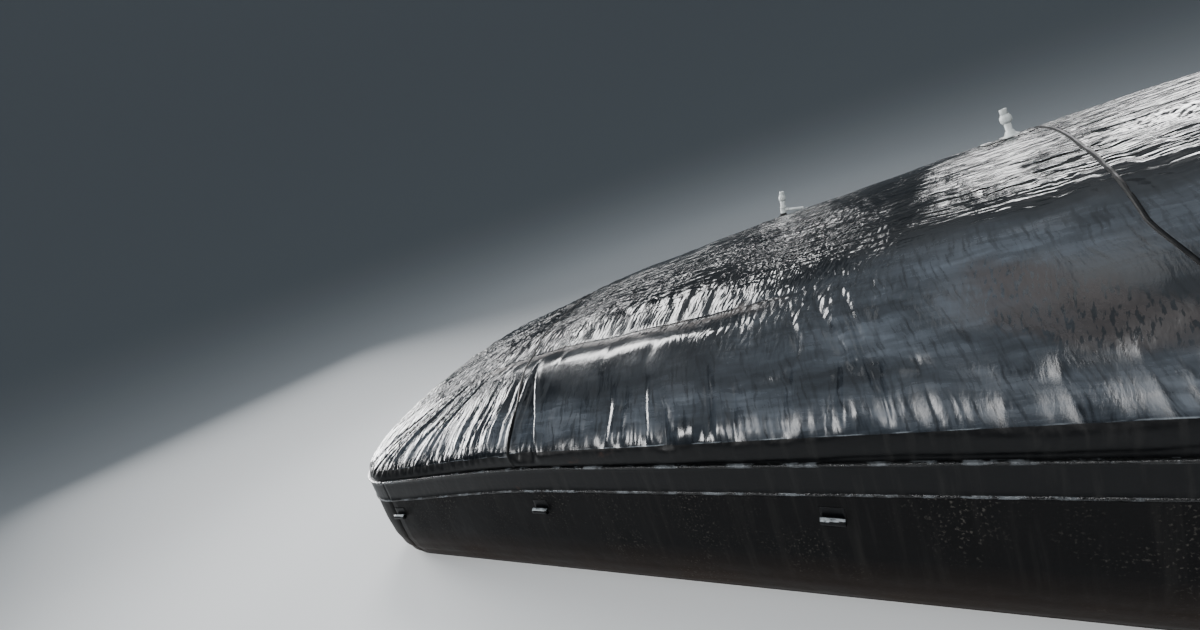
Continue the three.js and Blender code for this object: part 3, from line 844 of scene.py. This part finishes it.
# The cross welds.
# Where two sheets of the cover meet, their edges are turned up together and a bead is run over them, which
# leaves a round black rib from seam to seam over the crown.
RIB_FLANK = ((-0.016, 0.001), (-0.013, 0.002), (-0.010, 0.004), (-0.007, 0.008), (-0.003, 0.010))
RIB_SECTION = RIB_FLANK + tuple((-aside, lift) for aside, lift in reversed(RIB_FLANK))
RIB_THICKNESS = 0.006
LOWEST_ANGLE = 0.012
for i, weld_x in enumerate(WELD_X):

    def rib_point(across, over, weld_x=weld_x):
        corner = round(across * (len(RIB_SECTION) - 1))
        aside, lift = RIB_SECTION[corner]
        wander = noise.noise(Vector((over * 7.0, weld_x, 1.0))) * 0.018
        swell = 1.0 + 0.25 * noise.noise(Vector((over * 60.0, weld_x, 2.0)))
        angle = min(max(graded_angle(over), LOWEST_ANGLE), math.pi - LOWEST_ANGLE)
        return cover_surface(weld_x + aside + wander, angle, lift * swell)

    bm = grid_of(len(RIB_SECTION) - 1, 192, rib_point)
    rib = finished_piece(f"cover_weld_{i + 1}_rib", bm, weld_finish, "weld", f"cover_weld_{i + 1}")
    give_thickness(rib, RIB_THICKNESS)

# The pipe patches.
# A square of doubled HDPE sheet round each pipe, welded to the cover along its edges, which takes the pipe's
# pull. The vent's ends at the cross weld beside it.
PATCH_HALF = 0.25
PATCH_LIFT = 0.0025
PATCH_HOLE = 0.045
PATCH_CREASED = 0.3
FROM_WELD = 0.04


def on_cover(x, y, lift):
    """A point of the folded cover at x and y, lifted off it along its normal."""

    def spot(x_at, y_at):
        return plain_cover(x_at, math.acos(-y_at / half_width(x_at)))

    here = spot(x, y)
    along = spot(x + NORMAL_STEP, y) - spot(x - NORMAL_STEP, y)
    over = spot(x, y + NORMAL_STEP) - spot(x, y - NORMAL_STEP)
    return here + along.cross(over).normalized() * (fold_height(here) + lift)


def patch_point(pipe_x, pipe_y, beside_weld):
    """The patch round a pipe, with a low bead along its edges."""

    def place_point(along, across):
        y = pipe_y + PATCH_HALF * (2.0 * across - 1.0)
        near, far = pipe_x - PATCH_HALF, pipe_x + PATCH_HALF
        if beside_weld:
            far = cover_base(WELD_X[1], math.acos(-y / HALF_WIDTH)).x - FROM_WELD
        x = near + (far - near) * along
        from_edge = min(x - near, far - x, PATCH_HALF - abs(y - pipe_y))
        bead = 0.004 * (1.0 - ease(0.006, 0.02, from_edge))
        return on_cover(x, y, PATCH_LIFT + bead)

    return place_point


for name, (pipe_x, pipe_y), beside_weld in (
    ("gas_pipe_patch", PIPE_SPOTS[0], False),
    ("vent_patch", PIPE_SPOTS[1], True),
):
    bm = grid_of(64, 64, patch_point(pipe_x, pipe_y, beside_weld))
    pipe_foot = Vector((pipe_x, pipe_y))
    pierced = [face for face in bm.faces if (face.calc_center_median().xy - pipe_foot).length < PATCH_HOLE]
    bmesh.ops.delete(bm, geom=pierced, context="FACES")
    sheet_metres = bm.loops.layers.uv.new("sheet metres")
    along_layer = bm.verts.layers.float.new("along")
    for vertex in bm.verts:
        vertex[along_layer] = PATCH_CREASED
    for face in bm.faces:
        for loop in face.loops:
            loop[sheet_metres].uv = loop.vert.co.xy
    doubled = finished_piece(f"{name}_sheet", bm, cover_finish, "cover", name)
    give_thickness(doubled, SHEET_THICKNESS)
    cut = (2 * PATCH_HALF, 2 * PATCH_HALF)

# The tie loops.
# A strip of 3.5 mm HDPE rolled into a tube 70 mm across and 170 mm long, its end welded flat to the wall
# above it. Ropes or a pipe through the loops hold the digester down. The top of the tube has a painted
# highlight: pale grey in spots.

# Painted highlight for the top of the tube: the sheet painted pale grey in spots 25 mm wide, half dull.
highlight_finish = new_finish("HDPE sheet with painted highlight")
place = add_node(highlight_finish, "ShaderNodeTexCoord").outputs["Object"]
inputs = {"Vector": place, "Scale": 40.0, "Detail": 4.0, "Roughness": 0.6}
highlight_spots = add_node(highlight_finish, "ShaderNodeTexNoise", inputs).outputs["Fac"]
limits = {"Value": highlight_spots, "From Min": 0.36, "From Max": 0.56, "To Min": 0.25, "To Max": 1.0}
highlight_share = add_node(highlight_finish, "ShaderNodeMapRange", limits).outputs[0]
inputs = {"Factor": highlight_share, 6: linear_colour("#26292c"), 7: linear_colour("#9aa0a4")}
colour = add_node(highlight_finish, "ShaderNodeMix", inputs, data_type="RGBA").outputs[2]
inputs = {"Base Color": colour, "Roughness": 0.4, "IOR": 1.52}
surface = add_node(highlight_finish, "ShaderNodeBsdfPrincipled", inputs)
add_node(highlight_finish, "ShaderNodeOutputMaterial", {"Surface": surface.outputs[0]})

LOOP_X = (-9.41, -7.19, -4.49, -1.5, 1.5, 4.49, 7.19, 9.41)
LOOP_LENGTH = 0.172
LOOP_RADIUS = 0.035
LOOP_STRIP = 0.0035
LOOP_TURN = math.radians(352.0)
LOOP_TIGHTENING = 0.006
FLAP_HEIGHT = 0.095
FLAP_SHARE = 0.3
LOOP_DROP = 0.46
WALL_FACE = 0.02


def loop_point(centre, side, squash, tilt):
    """The strip: down the flap on the wall, then once round the tube, drawn in a little as it goes."""

    def place_point(along, round_share):
        x_off = (along - 0.5) * LOOP_LENGTH
        if round_share < FLAP_SHARE:
            out, rise = -LOOP_RADIUS, FLAP_HEIGHT * (1.0 - round_share / FLAP_SHARE)
        else:
            turn = (round_share - FLAP_SHARE) / (1.0 - FLAP_SHARE)
            radius = LOOP_RADIUS - LOOP_TIGHTENING * turn
            out = -math.cos(turn * LOOP_TURN) * radius
            rise = -math.sin(turn * LOOP_TURN) * radius * squash
        return centre + Vector((x_off, side * out, rise + tilt * x_off))

    return place_point


for word, side in (("front", -1.0), ("back", 1.0)):
    for i, x in enumerate(LOOP_X):
        centre = Vector((x, side * (HALF_WIDTH + WALL_FACE + LOOP_RADIUS), seam_height(x) - LOOP_DROP))
        chance = random.Random(40 + i + (20 if side > 0 else 0))
        squash, tilt = chance.uniform(0.82, 0.97), chance.uniform(-0.06, 0.06)
        bm = grid_of(8, 44, loop_point(centre, side, squash, tilt))
        if side > 0:
            bmesh.ops.reverse_faces(bm, faces=bm.faces)
        # The upper outer faces of the tube take the painted highlight.
        for face in bm.faces:
            offset = face.calc_center_median() - centre
            if offset.z > 0.45 * LOOP_RADIUS and side * offset.y > 0.0:
                face.material_index = 1
        node = f"tie_loop_{word}_{i + 1}"
        loop = finished_piece(f"{node}_sleeve", bm, weld_finish, "weld", node)
        loop.data.materials.append(highlight_finish)
        give_thickness(loop, LOOP_STRIP)

# The gas pipe.
# White uPVC pressure pipe, 60 mm across: a riser through a black boot in the cover, a tee with a 34 mm
# branch, and a screwed union, solvent-welded to each other.

# Injection-moulded uPVC: a cool white under a satin gloss, with yellowed dust in patches 30 to 70 mm wide.
# The mould's grain is too fine to show, so it is drawn 8 mm coarse.
pipe_finish = new_finish("moulded uPVC pipe")
place = add_node(pipe_finish, "ShaderNodeTexCoord").outputs["Object"]
pattern = {}
for key, scale, detail, roughness in (("grime", 14.0, 6.0, 0.6), ("grain", 120.0, 3.0, 0.5)):
    inputs = {"Vector": place, "Scale": scale, "Detail": detail, "Roughness": roughness}
    pattern[key] = add_node(pipe_finish, "ShaderNodeTexNoise", inputs).outputs["Fac"]
share = {}
for key, low, high, start, end in (("grime", 0.48, 0.78, 0.0, 0.55), ("dullness", 0.3, 0.7, 0.3, 0.5)):
    limits = {"Value": pattern["grime"], "From Min": low, "From Max": high, "To Min": start, "To Max": end}
    share[key] = add_node(pipe_finish, "ShaderNodeMapRange", limits).outputs[0]
inputs = {"Factor": share["grime"], 6: linear_colour("#cfd6d6"), 7: linear_colour("#8f8f83")}
colour = add_node(pipe_finish, "ShaderNodeMix", inputs, data_type="RGBA").outputs[2]
inputs = {"Height": pattern["grain"], "Strength": 0.2, "Distance": 0.001}
relief = add_node(pipe_finish, "ShaderNodeBump", inputs).outputs[0]
inputs = {"Base Color": colour, "Roughness": share["dullness"], "Normal": relief, "IOR": 1.53}
surface = add_node(pipe_finish, "ShaderNodeBsdfPrincipled", inputs)
add_node(pipe_finish, "ShaderNodeOutputMaterial", {"Surface": surface.outputs[0]})


def stand_on_cover(x, y, lean_degrees):
    """The frame of a pipe on the cover: its foot on the sheet, its Z up the pipe, leaning in the XZ plane."""
    angle = math.acos(-y / half_width(x))
    foot = plain_cover(x, angle)
    foot.z += 0.0006
    return Matrix.Translation(foot) @ Matrix.Rotation(math.radians(lean_degrees), 4, "Y")


PIPE_RADIUS = 0.030
PIPE_BORE = 0.027
SOCKET_BORE = 0.0303
PIPE_STEPS = 40
RISER_FOOT = -0.12
PIPE_LEAN = 8.0


def turned_piece(name, profile, frame_matrix, *nodes, finish=pipe_finish, slot="pipe", steps=PIPE_STEPS):
    """Spins a closed profile of (radius, height) round Z, then puts it in its frame."""
    bm = bmesh.new()
    corners = [bm.verts.new((radius, 0.0, height)) for radius, height in profile]
    sides = [bm.edges.new((a, b)) for a, b in zip(corners, corners[1:] + corners[:1])]
    bmesh.ops.spin(
        bm,
        geom=corners + sides,
        cent=(0.0, 0.0, 0.0),
        axis=(0.0, 0.0, 1.0),
        angle=2.0 * math.pi,
        steps=steps,
        use_merge=True,
    )
    bmesh.ops.remove_doubles(bm, verts=bm.verts, dist=1e-6)
    bmesh.ops.recalc_face_normals(bm, faces=bm.faces)
    bmesh.ops.transform(bm, matrix=frame_matrix, verts=bm.verts)
    return finished_piece(name, bm, finish, slot, *nodes)


def riser_profile(top):
    """A riser from under the cover to its cut end."""
    return [(PIPE_BORE, RISER_FOOT), (PIPE_RADIUS, RISER_FOOT), (PIPE_RADIUS, top), (PIPE_BORE, top)]


gas_frame = stand_on_cover(*PIPE_SPOTS[0], PIPE_LEAN)
turned_piece("gas_pipe_riser_tube", riser_profile(0.2617), gas_frame, "gas_pipe_riser")
BOOT_PROFILE = [
    (SOCKET_BORE, -0.03),
    (0.072, -0.03),
    (0.075, 0.004),
    (0.071, 0.010),
    (0.060, 0.016),
    (0.047, 0.030),
    (0.040, 0.048),
    (0.038, 0.056),
    (0.034, 0.058),
    (SOCKET_BORE, 0.056),
]
turned_piece(
    "gas_pipe_boot_sleeve", BOOT_PROFILE, gas_frame, "gas_pipe_boot", finish=weld_finish, slot="weld"
)

# The tee's body, and its arm and the branch in it, turned round the branch's axis.
TEE_HEIGHT = 0.1
TEE_HALF_PROFILE = [(0.036, 0.028), (0.038, 0.030), (0.038, 0.040), (0.0365, 0.042), (SOCKET_BORE, 0.042)]
tee_profile = [(radius, TEE_HEIGHT - up) for radius, up in reversed(TEE_HALF_PROFILE)]
tee_profile += [(radius, TEE_HEIGHT + up) for radius, up in TEE_HALF_PROFILE]
turned_piece("gas_pipe_tee_body", tee_profile, gas_frame, "gas_pipe_tee")

BRANCH_RADIUS = 0.017
BRANCH_BORE = 0.014
BRANCH_SOCKET = 0.0173
BRANCH_STEPS = 32
ARM_PROFILE = [
    (BRANCH_SOCKET, 0.028),
    (0.023, 0.028),
    (0.023, 0.056),
    (0.025, 0.058),
    (0.025, 0.070),
    (0.024, 0.072),
    (BRANCH_SOCKET, 0.072),
]
BRANCH_PROFILE = [
    (BRANCH_BORE, 0.036),
    (BRANCH_RADIUS, 0.036),
    (BRANCH_RADIUS, 0.2645),
    (0.0165, 0.265),
    (0.0145, 0.265),
    (BRANCH_BORE, 0.2645),
]
sideways = Matrix.Translation((0.0, 0.0, TEE_HEIGHT)) @ Matrix.Rotation(math.pi / 2, 4, "Y")
branch_frame = gas_frame @ sideways
turned_piece("gas_pipe_tee_arm", ARM_PROFILE, branch_frame, steps=BRANCH_STEPS)
turned_piece("gas_pipe_branch_tube", BRANCH_PROFILE, branch_frame, "gas_pipe_branch", steps=BRANCH_STEPS)


def union_profile(bottom, nut, height, tip):
    """A screwed union: a socket ring, a nut with a rounded shoulder, and a neck that the tip sits in."""
    top = bottom + height
    return [
        (SOCKET_BORE, bottom),
        (nut - 0.010, bottom),
        (nut - 0.008, bottom + 0.002),
        (nut - 0.008, bottom + 0.012),
        (nut - 0.002, bottom + 0.014),
        (nut, bottom + 0.017),
        (nut, top - 0.026),
        (nut - 0.002, top - 0.020),
        (nut - 0.006, top - 0.015),
        (tip + 0.007, top - 0.010),
        (tip + 0.006, top - 0.001),
        (tip + 0.005, top),
        (tip + 0.0003, top),
        (tip + 0.0003, top - 0.022),
        (PIPE_BORE, top - 0.022),
        (PIPE_BORE, bottom + 0.040),
        (SOCKET_BORE, bottom + 0.040),
    ]


def tip_profile(foot, tip, top):
    """The open tip of a pipe, of outer radius tip."""
    return [
        (PIPE_BORE, foot),
        (tip, foot),
        (tip, top - 0.004),
        (tip - 0.001, top - 0.001),
        (tip - 0.003, top),
        (PIPE_BORE + 0.001, top),
        (PIPE_BORE, top - 0.001),
    ]


def grip_ribs(name, count, frame_matrix, radius, low, high):
    """Ribs round a union's nut for a strap wrench, each a rounded upright bar."""
    bm = bmesh.new()
    for i in range(count):
        made = bmesh.ops.create_cube(bm, size=1.0)
        spot = (
            Matrix.Rotation(2.0 * math.pi * i / count, 4, "Z")
            @ Matrix.Translation((radius, 0.0, (low + high) / 2))
            @ Matrix.Diagonal((0.004, 0.005, high - low, 1.0))
        )
        bmesh.ops.transform(bm, matrix=spot, verts=made["verts"])
    bmesh.ops.bevel(
        bm,
        geom=list(bm.edges),
        offset=0.0012,
        offset_type="OFFSET",
        segments=2,
        profile=0.5,
        affect="EDGES",
        material=-1,
    )
    bmesh.ops.transform(bm, matrix=frame_matrix, verts=bm.verts)
    return finished_piece(name, bm, pipe_finish, "pipe")


turned_piece("gas_pipe_union_nut", union_profile(0.222, 0.044, 0.085, 0.031), gas_frame, "gas_pipe_union")
grip_ribs("gas_pipe_union_grip", 12, gas_frame, 0.0435, 0.240, 0.279)
turned_piece("gas_pipe_tip_socket", tip_profile(0.2853, 0.031, 0.352), gas_frame, "gas_pipe_tip")

# The relief vent.
# The same uPVC pipe with a larger union, in a white flanged boot near the crown. Gas above the set pressure
# leaves by its open tip. It leans a little, because it only stands in the sheet.
vent_frame = stand_on_cover(*PIPE_SPOTS[1], -PIPE_LEAN)
turned_piece("vent_riser_tube", riser_profile(0.1797), vent_frame, "vent_riser")
turned_piece("vent_boot_flange", BOOT_PROFILE, vent_frame, "vent_boot")
turned_piece("vent_union_nut", union_profile(0.140, 0.050, 0.088, 0.033), vent_frame, "vent_union")
grip_ribs("vent_union_grip", 14, vent_frame, 0.0495, 0.158, 0.200)
turned_piece("vent_tip_socket", tip_profile(0.2063, 0.033, 0.286), vent_frame, "vent_tip")

# The studio.
# A plain pale floor that goes over into a plain grey wall far off, soft light from the left, from behind and
# from in front, and the camera at the viewer's eye.
floor_finish = new_finish("pale studio floor")
place = add_node(floor_finish, "ShaderNodeTexCoord").outputs["Object"]
distance = add_node(floor_finish, "ShaderNodeVectorMath", {0: place}, operation="LENGTH").outputs["Value"]
limits = {"Value": distance, "From Min": 20.0, "From Max": 48.0}
far_off = add_node(floor_finish, "ShaderNodeMapRange", limits, interpolation_type="SMOOTHSTEP").outputs[0]
inputs = {"Factor": far_off, 6: linear_colour("#dcdedf"), 7: linear_colour("#82878b")}
colour = add_node(floor_finish, "ShaderNodeMix", inputs, data_type="RGBA").outputs[2]
inputs = {"Base Color": colour, "Roughness": 0.9, "Specular IOR Level": 0.1}
surface = add_node(floor_finish, "ShaderNodeBsdfPrincipled", inputs)
add_node(floor_finish, "ShaderNodeOutputMaterial", {"Surface": surface.outputs[0]})

FLOOR_REACH = 150.0
WALL_START = 28.0


def floor_point(across, along):
    """A floor round the digester that curves up into a wall far off."""
    radius, azimuth = FLOOR_REACH * along**1.5, 2.0 * math.pi * across
    wall = 0.012 * max(radius - WALL_START, 0.0) ** 2
    return Vector((radius * math.cos(azimuth), radius * math.sin(azimuth), wall - 0.002))


bm = grid_of(72, 60, floor_point)
bmesh.ops.remove_doubles(bm, verts=bm.verts, dist=1e-4)
for face in bm.faces:
    face.smooth = True
floor_mesh = bpy.data.meshes.new("studio_floor")
bm.to_mesh(floor_mesh)
bm.free()
floor = bpy.data.objects.new("studio_floor", floor_mesh)
bpy.context.scene.collection.objects.link(floor)
floor_mesh.materials.append(floor_finish)

world = bpy.data.worlds.new("studio")
bpy.context.scene.world = world
world.use_nodes = True
world.node_tree.nodes["Background"].inputs["Color"].default_value = linear_colour("#d9e2ea")
world.node_tree.nodes["Background"].inputs["Strength"].default_value = 0.72


def softbox(name, centre, target, size, watts, spread):
    light = bpy.data.lights.new(name, "AREA")
    light.shape = "RECTANGLE"
    light.size, light.size_y = size
    light.energy = watts
    light.spread = math.radians(spread)
    box = bpy.data.objects.new(name, light)
    box.location = centre
    box.rotation_euler = (Vector(target) - Vector(centre)).to_track_quat("-Z", "Y").to_euler()
    bpy.context.scene.collection.objects.link(box)


softbox("left_softbox", (-30.0, 3.5, 6.0), (-9.0, -1.0, 1.8), (12.0, 8.0), 950.0, 50.0)
softbox("back_softbox", (2.6, 18.4, 12.5), (-2.2, -0.8, 2.9), (12.0, 4.6), 440.0, 70.0)
softbox("shoulder_softbox", (-15.3, 6.4, 12.8), (-6.3, -1.7, 2.3), (6.0, 4.0), 330.0, 80.0)
softbox("front_left_softbox", (-13.0, -15.0, 12.0), (-6.0, -2.5, 1.8), (5.0, 5.0), 600.0, 100.0)
softbox("front_right_softbox", (5.0, -15.0, 13.0), (-2.0, -2.5, 1.8), (8.0, 6.0), 560.0, 100.0)
softbox("top_softbox", (-1.5, -2.0, 17.0), (-2.6, -2.2, 2.2), (7.0, 5.0), 18.0, 70.0)
for i, azimuth in enumerate((100.0, 152.0)):
    aim = Vector((-6.0, -1.0, 2.3))
    away = Vector((math.cos(math.radians(azimuth)), math.sin(math.radians(azimuth)), 0.52))
    softbox(f"strip_softbox_{i + 1}", aim + away * 20.0, aim, (1.2, 8.0), 40.0, 60.0)

eye = bpy.data.cameras.new("viewer")
eye.sensor_width = 36.0
eye.lens = 16.14
eye.clip_end = 2000.0
camera = bpy.data.objects.new("viewer", eye)
right = Vector((0.8426, 0.4400, -0.3105))
back = Vector((0.5151, -0.8265, 0.2261))
up = back.cross(right).normalized()
right = up.cross(back).normalized()
turn = Matrix((right, up, back)).transposed().to_4x4()
camera.matrix_world = Matrix.Translation((-3.67, -6.5, SEAM_HEIGHT + 2.33)) @ turn
bpy.context.scene.collection.objects.link(camera)
bpy.context.scene.camera = camera
